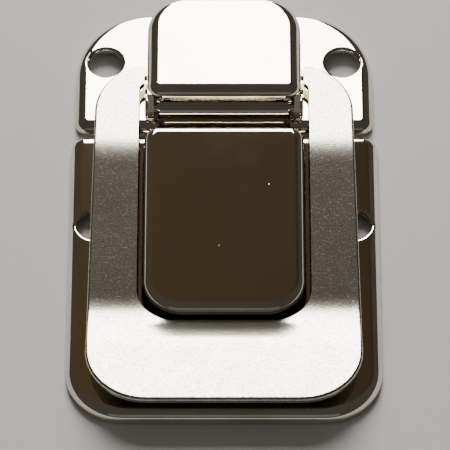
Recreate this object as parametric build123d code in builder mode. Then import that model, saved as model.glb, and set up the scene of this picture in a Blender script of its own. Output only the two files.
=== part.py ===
from build123d import *
import os

os.makedirs("parts", exist_ok=True)

# All lengths in millimetres. X across the latch, Y along it (lever end positive), Z up.
# The closed latch lies with the turned-down plate rims on Z = 0.

# Sheet and edge sizes
sheet = 0.8
plate_top = 1.9
plate_edge_radius = 1.5

# Keeper plate: the longer tray, on the box side
keeper_width = 42.0
keeper_south = -33.55
keeper_north = 12.35
keeper_south_radius = 7.6
keeper_north_radius = 1.9
keeper_hole_x = 17.5
keeper_hole_y = -2.85

# Hinge plate: the shorter tray, on the lid side
hinge_width = 41.0
hinge_south = 13.25
hinge_north = 33.55
hinge_north_radius = 10.7
hinge_south_radius = 1.9
hinge_hole_x = 16.4
hinge_hole_y = 24.6

hole_radius = 2.35
hole_edge_radius = 0.4

# Hinge axis, knuckle and pin
axis_y = 15.25
axis_z = 4.1
pin_radius = 1.1
running_gap = 0.05
knuckle_radius = 2.0
knuckle_half = 8.8
roll_gap = 0.3
pin_half = 10.47
head_radius = 1.55
head_height = 0.38

# Lever: drawn cap, wider at its open side
lever_south = 14.78
lever_north = 31.65
lever_top = 8.2
lever_bottom = 2.2
lever_top_half = 10.45
lever_bottom_half = 10.75
lever_north_radius = 5.5
lever_south_radius = 1.8
lever_edge_radius = 1.5
lever_lip_bottom = 6.9
ear_inner = 9.62
ear_thickness = 0.8
ear_radius = 1.9
grip_bottom = 3.4

# Bail frame: flat sheet ring with a raised finger lip
frame_sheet = 0.9
frame_bottom = 3.0
frame_north = 22.75
frame_south = -32.95
frame_north_half = 17.6
frame_south_half = 18.5
frame_north_radius = 7.8
frame_south_radius = 8.2
window_half = 11.7
window_north = 19.65
window_south = -19.8
window_south_radius = 5.2
window_north_radius = 1.2
lip_bend_y = -17.85
lip_bend_radius = 40.0
lip_rise = 1.19
frame_edge_radius = 0.35
bar_y = 21.25
bar_width = 1.5
bar_half = 11.0
bar_corner = 0.3
eye_radius = 0.85
hook_slit = 0.15

# Keeper block: drawn cap standing in the frame's window
block_south = -19.36
block_north = 11.1
block_top = 6.0
block_top_half = 10.75
block_bottom_half = 11.1
block_south_radius = 5.2
block_north_radius = 2.0
block_edge_radius = 1.3
tab_y = (-9.0, 5.0)
tab_length = 4.0
tab_reach = 3.2
tab_gap = 0.05

bar_z = frame_bottom + frame_sheet / 2


def outline(half, south, north, south_radius, north_radius):
    """Rectangle about the Y axis with its own radius at each end."""
    with BuildSketch(mode=Mode.PRIVATE) as shape:
        with Locations((0, (south + north) / 2)):
            Rectangle(2 * half, north - south)
        fillet(shape.vertices().group_by(Axis.Y)[-1], north_radius)
        fillet(shape.vertices().group_by(Axis.Y)[0], south_radius)
    return shape.sketch


# Keeper plate
with BuildPart() as keeper_plate:
    with BuildSketch(Plane.XY):
        add(outline(keeper_width / 2, keeper_south, keeper_north,
                    keeper_south_radius, keeper_north_radius))
    extrude(amount=plate_top)
    fillet(keeper_plate.faces().sort_by(Axis.Z)[-1].edges(), plate_edge_radius)
    offset(amount=-sheet, openings=keeper_plate.faces().sort_by(Axis.Z)[0])
    # Screw holes with a softened upper edge
    with BuildSketch(Plane.XY):
        with Locations((-keeper_hole_x, keeper_hole_y), (keeper_hole_x, keeper_hole_y)):
            Circle(hole_radius)
    extrude(amount=plate_top, mode=Mode.SUBTRACT)
    hole_rims = keeper_plate.edges().filter_by(GeomType.CIRCLE).filter_by(
        lambda e: abs(e.radius - hole_radius) < 0.01 and e.center().Z > plate_top - 0.1)
    fillet(hole_rims, hole_edge_radius)
    # Slots for the folded tabs of the block
    with BuildSketch(Plane.XY):
        for side in (-1, 1):
            for y in tab_y:
                with Locations((side * (block_bottom_half - sheet / 2), y)):
                    Rectangle(sheet + 2 * tab_gap, tab_length + 2 * tab_gap)
    extrude(amount=plate_top, mode=Mode.SUBTRACT)
keeper_plate.part.label = "keeper_plate"

# Keeper block
with BuildPart() as keeper_block:
    with BuildSketch(Plane.XY.offset(plate_top)):
        add(outline(block_bottom_half, block_south, block_north,
                    block_south_radius, block_north_radius))
    with BuildSketch(Plane.XY.offset(block_top)):
        add(outline(block_top_half, block_south, block_north,
                    block_south_radius, block_north_radius))
    loft(ruled=True)
    fillet(keeper_block.faces().sort_by(Axis.Z)[-1].edges(), block_edge_radius)
    offset(amount=-sheet, openings=keeper_block.faces().sort_by(Axis.Z)[0])
    # Four tabs through the plate, folded inward below it
    for side in (-1, 1):
        for y in tab_y:
            with BuildSketch(Plane.XY):
                with Locations((side * (block_bottom_half - sheet / 2), y)):
                    Rectangle(sheet, tab_length)
            extrude(amount=plate_top + 0.3)
            with BuildSketch(Plane.XY):
                with Locations((side * (block_bottom_half - tab_reach / 2), y)):
                    Rectangle(tab_reach, tab_length)
            extrude(amount=plate_top - sheet - tab_gap)
    # Trim the folds to sheet thickness
    with BuildSketch(Plane.XY):
        Rectangle(keeper_width, 2 * keeper_width)
    extrude(amount=plate_top - 2 * sheet - tab_gap, mode=Mode.SUBTRACT)
keeper_block.part.label = "keeper_block"

# Hinge plate with its rolled knuckle
with BuildPart() as hinge_plate:
    with BuildSketch(Plane.XY):
        add(outline(hinge_width / 2, hinge_south, hinge_north,
                    hinge_south_radius, hinge_north_radius))
    extrude(amount=plate_top)
    fillet(hinge_plate.faces().sort_by(Axis.Z)[-1].edges(), plate_edge_radius)
    offset(amount=-sheet, openings=hinge_plate.faces().sort_by(Axis.Z)[0])
    with BuildSketch(Plane.XY):
        with Locations((-hinge_hole_x, hinge_hole_y), (hinge_hole_x, hinge_hole_y)):
            Circle(hole_radius)
    extrude(amount=plate_top, mode=Mode.SUBTRACT)
    hole_rims = hinge_plate.edges().filter_by(GeomType.CIRCLE).filter_by(
        lambda e: abs(e.radius - hole_radius) < 0.01 and e.center().Z > plate_top - 0.1)
    fillet(hole_rims, hole_edge_radius)
    # The middle of the south rim is turned up instead of down
    with BuildSketch(Plane.XY):
        with Locations((0, hinge_south)):
            Rectangle(2 * (knuckle_half + roll_gap), 2 * plate_edge_radius)
    extrude(amount=plate_top, mode=Mode.SUBTRACT)
    # Sheet flat, bend and riser, then the roll round the pin
    with BuildSketch(Plane.YZ) as tab_profile:
        riser_south = axis_y - knuckle_radius
        flat_north = hinge_south + plate_edge_radius + 0.5
        with Locations((riser_south, plate_top - sheet)):
            Rectangle(flat_north - riser_south, sheet, align=(Align.MIN, Align.MIN))
            Rectangle(sheet, axis_z - plate_top + sheet, align=(Align.MIN, Align.MIN))
        fillet(tab_profile.vertices().sort_by(Axis.Y)[0:2].sort_by(Axis.X)[0], sheet + 0.3)
        with Locations((axis_y, axis_z)):
            Circle(knuckle_radius)
            Circle(pin_radius + running_gap, mode=Mode.SUBTRACT)
        with Locations((riser_south + sheet, axis_z - knuckle_radius)):
            Rectangle(roll_gap, knuckle_radius - pin_radius, align=(Align.MIN, Align.MIN),
                      mode=Mode.SUBTRACT)
    extrude(amount=knuckle_half, both=True)
hinge_plate.part.label = "hinge_plate"

# Hinge pin with peened ends
with BuildPart() as hinge_pin:
    with BuildSketch(Plane.YZ):
        with Locations((axis_y, axis_z)):
            Circle(pin_radius)
    extrude(amount=pin_half, both=True)
    for side in (-1, 1):
        with BuildSketch(Plane.YZ.offset(side * pin_half)):
            with Locations((axis_y, axis_z)):
                Circle(head_radius)
        extrude(amount=side * head_height)
    fillet(hinge_pin.faces().sort_by(Axis.X)[0].edges(), head_height * 0.8)
    fillet(hinge_pin.faces().sort_by(Axis.X)[-1].edges(), head_height * 0.8)
hinge_pin.part.label = "hinge_pin"

# Lever
with BuildPart() as lever:
    with BuildSketch(Plane.XY.offset(lever_bottom)):
        add(outline(lever_bottom_half, lever_south, lever_north,
                    lever_south_radius, lever_north_radius))
    with BuildSketch(Plane.XY.offset(lever_top)):
        add(outline(lever_top_half, lever_south, lever_north,
                    lever_south_radius, lever_north_radius))
    loft(ruled=True)
    fillet(lever.faces().sort_by(Axis.Z)[-1].edges(), lever_edge_radius)
    offset(amount=-sheet, openings=lever.faces().sort_by(Axis.Z)[0])
    # The south wall is only a short lip above the knuckle
    with BuildSketch(Plane.YZ):
        with Locations((lever_south - 1.0, 0)):
            Rectangle(1.0 + 2 * sheet, lever_lip_bottom, align=(Align.MIN, Align.MIN))
    extrude(amount=ear_inner, both=True, mode=Mode.SUBTRACT)
    # Ears round the pin
    for side in (-1, 1):
        with BuildSketch(Plane.YZ.offset(side * ear_inner)) as ear:
            with Locations((axis_y, axis_z)):
                Circle(ear_radius)
            with Locations((lever_south + 0.5, lever_lip_bottom - 0.6)):
                Rectangle(1.0, 0.8, align=(Align.MIN, Align.MIN))
            make_hull()
        extrude(amount=side * ear_thickness)
    # Side walls rise toward the free end to let a fingertip in
    with BuildSketch(Plane.YZ):
        with BuildLine():
            Polyline((lever_north + 1, grip_bottom), (bar_y + 3, lever_bottom),
                     (bar_y + 3, 0), (lever_north + 1, 0), close=True)
        make_face()
    extrude(amount=lever_bottom_half + 1, both=True, mode=Mode.SUBTRACT)
    # Pin holes, eyes for the frame's bar and the slit of each closed hook
    with BuildSketch(Plane.YZ):
        with Locations((axis_y, axis_z)):
            Circle(pin_radius + running_gap)
        with Locations((bar_y, bar_z)):
            Circle(eye_radius)
        with Locations((bar_y, bar_z - 1.5)):
            Rectangle(hook_slit, 3.0)
    extrude(amount=lever_bottom_half + 1, both=True, mode=Mode.SUBTRACT)
    # Flat seat for each peened pin end
    for side in (-1, 1):
        with BuildSketch(Plane.YZ.offset(side * (ear_inner + ear_thickness))):
            with Locations((axis_y, axis_z)):
                Circle(head_radius + 0.15)
        extrude(amount=side * 2, mode=Mode.SUBTRACT)
lever.part.label = "lever"

# Bail frame
with BuildPart() as bail_frame:
    with BuildSketch(Plane.YZ) as side_profile:
        with BuildLine():
            Polyline((frame_north, frame_bottom), (lip_bend_y, frame_bottom),
                     (frame_south, frame_bottom + lip_rise),
                     (frame_south, frame_bottom + lip_rise + frame_sheet),
                     (lip_bend_y, frame_bottom + frame_sheet),
                     (frame_north, frame_bottom + frame_sheet), close=True)
        make_face()
        bends = side_profile.vertices().filter_by(lambda v: abs(v.X - lip_bend_y) < 0.01)
        assert len(bends) == 2, "the lip bends once on each face of the sheet"
        fillet(bends, lip_bend_radius)
    extrude(amount=keeper_width / 2, both=True)
    with BuildSketch(Plane.XY) as ring:
        with BuildLine():
            Polyline((-frame_south_half, frame_south), (frame_south_half, frame_south),
                     (frame_north_half, frame_north), (-frame_north_half, frame_north),
                     close=True)
        make_face()
        fillet(ring.vertices().group_by(Axis.Y)[-1], frame_north_radius)
        fillet(ring.vertices().group_by(Axis.Y)[0], frame_south_radius)
        add(outline(window_half, window_south, window_north,
                    window_south_radius, window_north_radius), mode=Mode.SUBTRACT)
        # The bar is narrowed where the lever's hooks hold it
        for edge_y, reach in ((bar_y - bar_width / 2, -3), (bar_y + bar_width / 2, 3)):
            with Locations((0, edge_y + reach / 2)):
                Rectangle(2 * bar_half, abs(reach), mode=Mode.SUBTRACT)
    extrude(amount=2 * block_top, mode=Mode.INTERSECT)
    # Coined corners on the narrowed bar
    neck = bail_frame.edges().filter_by(Axis.X).filter_by(
        lambda e: abs(abs(e.center().Y - bar_y) - bar_width / 2) < 0.01 and e.length > bar_half)
    fillet(neck, bar_corner)
    # The upper edge is rounded over all round the outside
    upper = bail_frame.faces().filter_by(lambda f: f.normal_at().Z > 0.9).edges()
    rims = [e for e in upper if upper.count(e) == 1
            and (abs(e.center().X) > window_half + 1 or e.center().Y < window_south - 1)]
    fillet(rims, frame_edge_radius)
bail_frame.part.label = "bail_frame"

for name in (keeper_plate, keeper_block, hinge_plate, hinge_pin, lever, bail_frame):
    export_step(name.part, f"parts/{name.part.label}.step")
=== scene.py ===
import math

import bpy
from mathutils import Matrix, Vector

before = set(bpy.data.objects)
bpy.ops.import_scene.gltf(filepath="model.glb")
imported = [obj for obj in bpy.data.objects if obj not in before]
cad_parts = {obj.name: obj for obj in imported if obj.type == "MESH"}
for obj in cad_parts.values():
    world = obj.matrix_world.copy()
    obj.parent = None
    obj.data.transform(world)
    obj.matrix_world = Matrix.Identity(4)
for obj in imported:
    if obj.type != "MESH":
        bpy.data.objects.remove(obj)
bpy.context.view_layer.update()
print("latch loaded", sorted(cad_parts))


class Wire:
    # wraps one socket of a node tree, so that shader maths reads as plain expressions
    def __init__(self, tree, socket=None):
        self.tree = tree
        self.socket = socket

    def node(self, kind, values=None, settings=None, out=0):
        made = self.tree.nodes.new(kind)
        for key, value in (settings or {}).items():
            if key == "stops":
                ramp = made.color_ramp
                while len(ramp.elements) < len(value):
                    ramp.elements.new(0.5)
                for element, (place, colour) in zip(ramp.elements, value):
                    element.position = place
                    element.color = colour
            else:
                setattr(made, key, value)
        for key, value in (values or {}).items():
            if isinstance(value, Wire):
                self.tree.links.new(value.socket, made.inputs[key])
            else:
                made.inputs[key].default_value = value
        return Wire(self.tree, made.outputs[out])

    def maths(self, operation, first, second):
        return self.node("ShaderNodeMath", {0: first, 1: second}, {"operation": operation})

    def __add__(self, other):
        return self.maths("ADD", self, other)

    __radd__ = __add__

    def __sub__(self, other):
        return self.maths("SUBTRACT", self, other)

    def __rsub__(self, other):
        return self.maths("SUBTRACT", other, self)

    def __mul__(self, other):
        return self.maths("MULTIPLY", self, other)

    __rmul__ = __mul__

    def above(self, low, high):
        # 0 below low, 1 above high, smooth between
        return self.node("ShaderNodeMapRange", {"Value": self, "From Min": low, "From Max": high},
                         {"interpolation_type": "SMOOTHSTEP"})

    def bend(self, start, length):
        # a height whose slope eases from 0 to 1 between start and start + length
        run = self.node("ShaderNodeMapRange", {"Value": self, "From Min": start, "From Max": start + length})
        beyond = self.maths("MAXIMUM", self - (start + length), 0.0)
        return (run * run * run - run * run * run * run * 0.5) * length + beyond

    def axis(self, index):
        return self.node("ShaderNodeSeparateXYZ", {0: self}, out=index)

    def turned(self, angle, stretch):
        # the same place, turned about Z and stretched along each axis
        return self.node("ShaderNodeMapping", {"Vector": self, "Rotation": (0, 0, math.radians(angle)),
                                               "Scale": stretch}, {"vector_type": "TEXTURE"})

    def noise(self, size, detail=2.0, rough=0.5):
        return self.node("ShaderNodeTexNoise", {"Vector": self, "Scale": 1 / size, "Detail": detail,
                                                "Roughness": rough}, out=0)

    def blend(self, first, second):
        # first where this mask is 0, second where it is 1
        return self.node("ShaderNodeMix", {0: self, 6: first, 7: second}, {"data_type": "RGBA"}, out=2)


def newMaterial(name):
    material = bpy.data.materials.new(name)
    material.use_nodes = True
    tree = material.node_tree
    shader = tree.nodes["Principled BSDF"]
    place = Wire(tree).node("ShaderNodeTexCoord", out=3)
    return material, tree, shader, place


def plug(tree, shader, **values):
    for name, value in values.items():
        socket = shader.inputs[name.replace("_", " ")]
        if isinstance(value, Wire):
            tree.links.new(value.socket, socket)
        else:
            socket.default_value = value


def scratches(place, lines):
    # sparse fine lines, each layer turned its own way
    total = 0.0
    for angle, length, width, cut in lines:
        streak = place.turned(angle, (length, width, length)).noise(1.0, 1.0)
        total = total + streak.above(cut, cut + 0.03)
    return total


def specks(place, size, reach, share):
    # small round pits or dust, in a share of the cells
    cell = place.node("ShaderNodeTexVoronoi", {"Vector": place, "Scale": 1 / size})
    chosen = place.node("ShaderNodeTexVoronoi", {"Vector": place, "Scale": 1 / size}, out=1)
    return (1 - cell.above(reach * 0.5, reach)) * chosen.axis(0).above(1 - share, 1 - share + 0.01)


polished = {
    "tint": (0.80, 0.75, 0.66, 1), "tintWorn": (0.72, 0.66, 0.55, 1),
    "roughness": 0.045, "hazeRoughness": 0.02, "scratchRoughness": 0.05,
    "hazeSize": 0.009, "hazeDetail": 4.0, "hazeLow": 0.4, "hazeHigh": 0.7,
    "waveSize": 0.012, "waveHeight": 0.0000025,
    "scratchDepth": 0.0000002, "speckSize": 0.0034, "speckDepth": 0.000005,
    "speckReach": 0.030, "speckShare": 0.45, "speckRoughness": 0.3,
    "scratchLines": [(12, 0.003, 0.00003, 0.79), (-38, 0.0025, 0.00003, 0.80),
                     (71, 0.0035, 0.00003, 0.80)],
}


def polishedNickel(name, tilt, crown, fall=0.0):
    # tilt and crown bend the reflections of the pressed sheet, fall rounds off its sides
    material, tree, shader, place = newMaterial(name)
    haze = place.noise(polished["hazeSize"], polished["hazeDetail"])
    haze = haze.above(polished["hazeLow"], polished["hazeHigh"])
    fine = scratches(place, polished["scratchLines"])
    dots = specks(place, polished["speckSize"], polished["speckReach"], polished["speckShare"])
    height = place.noise(polished["waveSize"], 1.0) * polished["waveHeight"]
    height = height - fine * polished["scratchDepth"] + dots * polished["speckDepth"]
    height = height - place.axis(1) * tilt
    across = place.axis(0)
    height = height - across * across * crown
    height = height - across * across * across * across * fall
    bump = place.node("ShaderNodeBump", {"Height": height, "Distance": 1.0, "Strength": 1.0})
    roughness = haze * polished["hazeRoughness"] + fine * polished["scratchRoughness"]
    roughness = roughness + dots * polished["speckRoughness"]
    plug(tree, shader, Base_Color=haze.blend(polished["tint"], polished["tintWorn"]), Metallic=1.0,
         Roughness=roughness + polished["roughness"], Normal=bump)
    return material


satin = {
    "tint": (0.70, 0.67, 0.59, 1), "tintDull": (0.60, 0.57, 0.49, 1),
    "roughness": 0.15, "grainRoughness": 0.08, "scratchRoughness": 0.10,
    "grainSize": 0.00030, "grainDepth": 0.000008,
    "fleckLow": 0.45, "fleckHigh": 0.68, "sparkSize": 0.00024, "sparkCut": 0.62, "sparkTop": 0.67,
    "sparkRoughness": 0.06,
    "tintPit": (0.36, 0.34, 0.29, 1), "patchSize": 0.006, "patchLow": 0.35, "patchHigh": 0.7,
    "scratchLines": [(84, 0.005, 0.00003, 0.79), (5, 0.004, 0.00003, 0.80), (-52, 0.006, 0.00003, 0.80)],
    "scratchDepth": 0.0000012, "northTilt": 0.030, "southTilt": -0.14,
    "crownStart": 0.0055, "crownLength": 0.006, "lipStart": 0.0150, "lipLength": 0.0045,
    "rimTilt": 0.25, "rimStart": 0.0195, "rimLength": 0.0014, "rimEnd": 0.0222, "rimFade": 0.0022,
}


def satinNickel(name):
    material, tree, shader, place = newMaterial(name)
    grain = place.noise(satin["grainSize"], 2.0, 0.7)
    fleck = grain.above(satin["fleckLow"], satin["fleckHigh"])
    bright = place.noise(satin["sparkSize"], 1.0).above(satin["sparkCut"], satin["sparkTop"])
    patch = place.noise(satin["patchSize"], 3.0).above(satin["patchLow"], satin["patchHigh"])
    fine = scratches(place, satin["scratchLines"])
    height = grain * satin["grainDepth"] - fine * satin["scratchDepth"]
    along = place.axis(1)
    crown = along.bend(satin["crownStart"], satin["crownLength"])
    lip = (0 - along).bend(satin["lipStart"], satin["lipLength"])
    height = height - along * satin["southTilt"] - lip * satin["southTilt"]
    height = height - crown * (satin["northTilt"] - satin["southTilt"])
    back = 0 - along  # the lip curls a little more beside the window
    rim = back.bend(satin["rimStart"], satin["rimLength"]) - back.bend(satin["rimEnd"], satin["rimFade"])
    height = height + rim * satin["rimTilt"]
    bump = place.node("ShaderNodeBump", {"Height": height, "Distance": 1.0, "Strength": 1.0})
    roughness = grain * satin["grainRoughness"] + fine * satin["scratchRoughness"] + satin["roughness"]
    roughness = roughness + bright * satin["sparkRoughness"]
    colour = patch.blend(satin["tint"], satin["tintDull"])
    plug(tree, shader, Base_Color=fleck.blend(colour, satin["tintPit"]), Metallic=1.0,
         Roughness=roughness, Normal=bump)
    return material


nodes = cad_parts
finishes = {
    "keeper_plate": polishedNickel("nickelKeeperPlate", -0.035, 3.0),
    "keeper_block": polishedNickel("nickelKeeperBlock", -0.045, 1.0),
    "hinge_plate": polishedNickel("nickelHingePlate", 0.010, 1.0),
    "hinge_pin": polishedNickel("nickelPin", 0.0, 0.0),
    "lever": polishedNickel("nickelLever", 0.010, 1.0, 20000.0),
    "bail_frame": satinNickel("satinFrame"),
}
for name, finish in finishes.items():
    for slotIndex in range(len(nodes[name].material_slots)):
        nodes[name].material_slots[slotIndex].material = finish
print("finishes on", len(finishes), "pieces")


floorLook = {"size": 1.6, "drop": 0.0001, "cloudSize": 0.05, "roughness": 0.85,
             "tint": (0.72, 0.71, 0.69, 1), "tintSoft": (0.66, 0.65, 0.63, 1)}


def makeFloor():
    half = floorLook["size"] / 2
    mesh = bpy.data.meshes.new("floor")
    mesh.from_pydata([(-half, -half, 0), (half, -half, 0), (half, half, 0), (-half, half, 0)], [],
                     [(0, 1, 2, 3)])
    floor = bpy.data.objects.new("floor", mesh)
    bpy.context.scene.collection.objects.link(floor)
    floor.location.z = -floorLook["drop"]  # just under the plates
    material, tree, shader, place = newMaterial("paleFloor")
    cloudy = place.noise(floorLook["cloudSize"], 3.0)
    plug(tree, shader, Base_Color=cloudy.blend(floorLook["tint"], floorLook["tintSoft"]),
         Roughness=floorLook["roughness"])
    mesh.materials.append(material)


makeFloor()


lights = {
    "far": 1.0, "topElevation": 53.7, "lowElevation": 8.0, "halfWidth": 0.21, "shift": -0.03,
    "radiance": 15.0, "colour": (1.0, 0.985, 0.96),
    "fillPower": 1.0, "fillHeight": 1.2, "fillSize": 1.4,
    "backRadiance": 0.10, "backPlace": (0, -0.9, 0.35), "backFacing": (0, 0.93, -0.36),
    "backWidth": 1.2, "backHeight": 0.35,
    "world": (0.088, 0.060, 0.032), "worldEast": (0.046, 0.030, 0.019),
    "worldPlain": (0.066, 0.061, 0.054), "warmReach": 0.6, "warmNorth": (0.22, 0.40),
    "warmHigh": (0.60, 0.74),
}


def areaLight(name, centre, facing, width, height, radiance, colour):
    data = bpy.data.lights.new(name, "AREA")
    data.shape = "RECTANGLE"
    data.size = width
    data.size_y = height
    data.color = colour
    data.energy = radiance * math.pi * width * height
    light = bpy.data.objects.new(name, data)
    light.rotation_mode = "QUATERNION"
    light.rotation_quaternion = (-Vector(facing)).to_track_quat("Z", "Y")
    light.location = centre
    bpy.context.scene.collection.objects.link(light)
    return light


def makeLights():
    high = math.radians(lights["topElevation"])
    low = math.radians(lights["lowElevation"])
    top = Vector((0, math.cos(high), math.sin(high))) * lights["far"]
    bottom = Vector((0, math.cos(low), math.sin(low))) * lights["far"]
    rise = top - bottom
    facing = Vector((0, -rise.z, rise.y)).normalized()
    centre = (top + bottom) / 2 + Vector((lights["shift"], 0, 0))
    areaLight("windowLight", centre, facing, 2 * lights["halfWidth"], rise.length,
              lights["radiance"], lights["colour"])
    areaLight("backLight", Vector(lights["backPlace"]), Vector(lights["backFacing"]),
              lights["backWidth"], lights["backHeight"], lights["backRadiance"], lights["colour"])
    fill = areaLight("floorFill", Vector((0, 0, lights["fillHeight"])), Vector((0, 0, -1)),
                     lights["fillSize"], lights["fillSize"], 1.0, (1, 1, 1))
    fill.data.energy = lights["fillPower"]
    fill.visible_glossy = False
    world = bpy.data.worlds.new("room")
    world.use_nodes = True
    bpy.context.scene.world = world
    tree = world.node_tree
    way = Wire(tree).node("ShaderNodeTexCoord", out=0)
    east = way.axis(0).above(-lights["warmReach"], lights["warmReach"])
    warm = east.blend((*lights["world"], 1), (*lights["worldEast"], 1))
    north = way.axis(1).above(*lights["warmNorth"]) * way.axis(2).above(*lights["warmHigh"])
    room = north.blend((*lights["worldPlain"], 1), warm)  # warm wall high in the north, plain elsewhere
    tree.links.new(room.socket, tree.nodes["Background"].inputs["Color"])


makeLights()
print("floor and lights made")


shot = {"target": (0.00013, -0.00298, 0.0020), "towards": (0, -0.5736, 0.8192), "distance": 0.60,
        "lens": 355.0, "sensor": 36.0, "clip": 0.01}


def makeCamera():
    data = bpy.data.cameras.new("camera")
    data.lens = shot["lens"]
    data.sensor_width = shot["sensor"]
    data.clip_start = shot["clip"]
    camera = bpy.data.objects.new("camera", data)
    back = Vector(shot["towards"]).normalized()
    right = Vector((0, 1, 0)).cross(back).normalized()
    up = back.cross(right)
    place = Matrix((right, up, back)).transposed().to_4x4()
    place.translation = Vector(shot["target"]) + back * shot["distance"]
    camera.matrix_world = place
    bpy.context.scene.collection.objects.link(camera)
    bpy.context.scene.camera = camera


makeCamera()
print("camera placed")
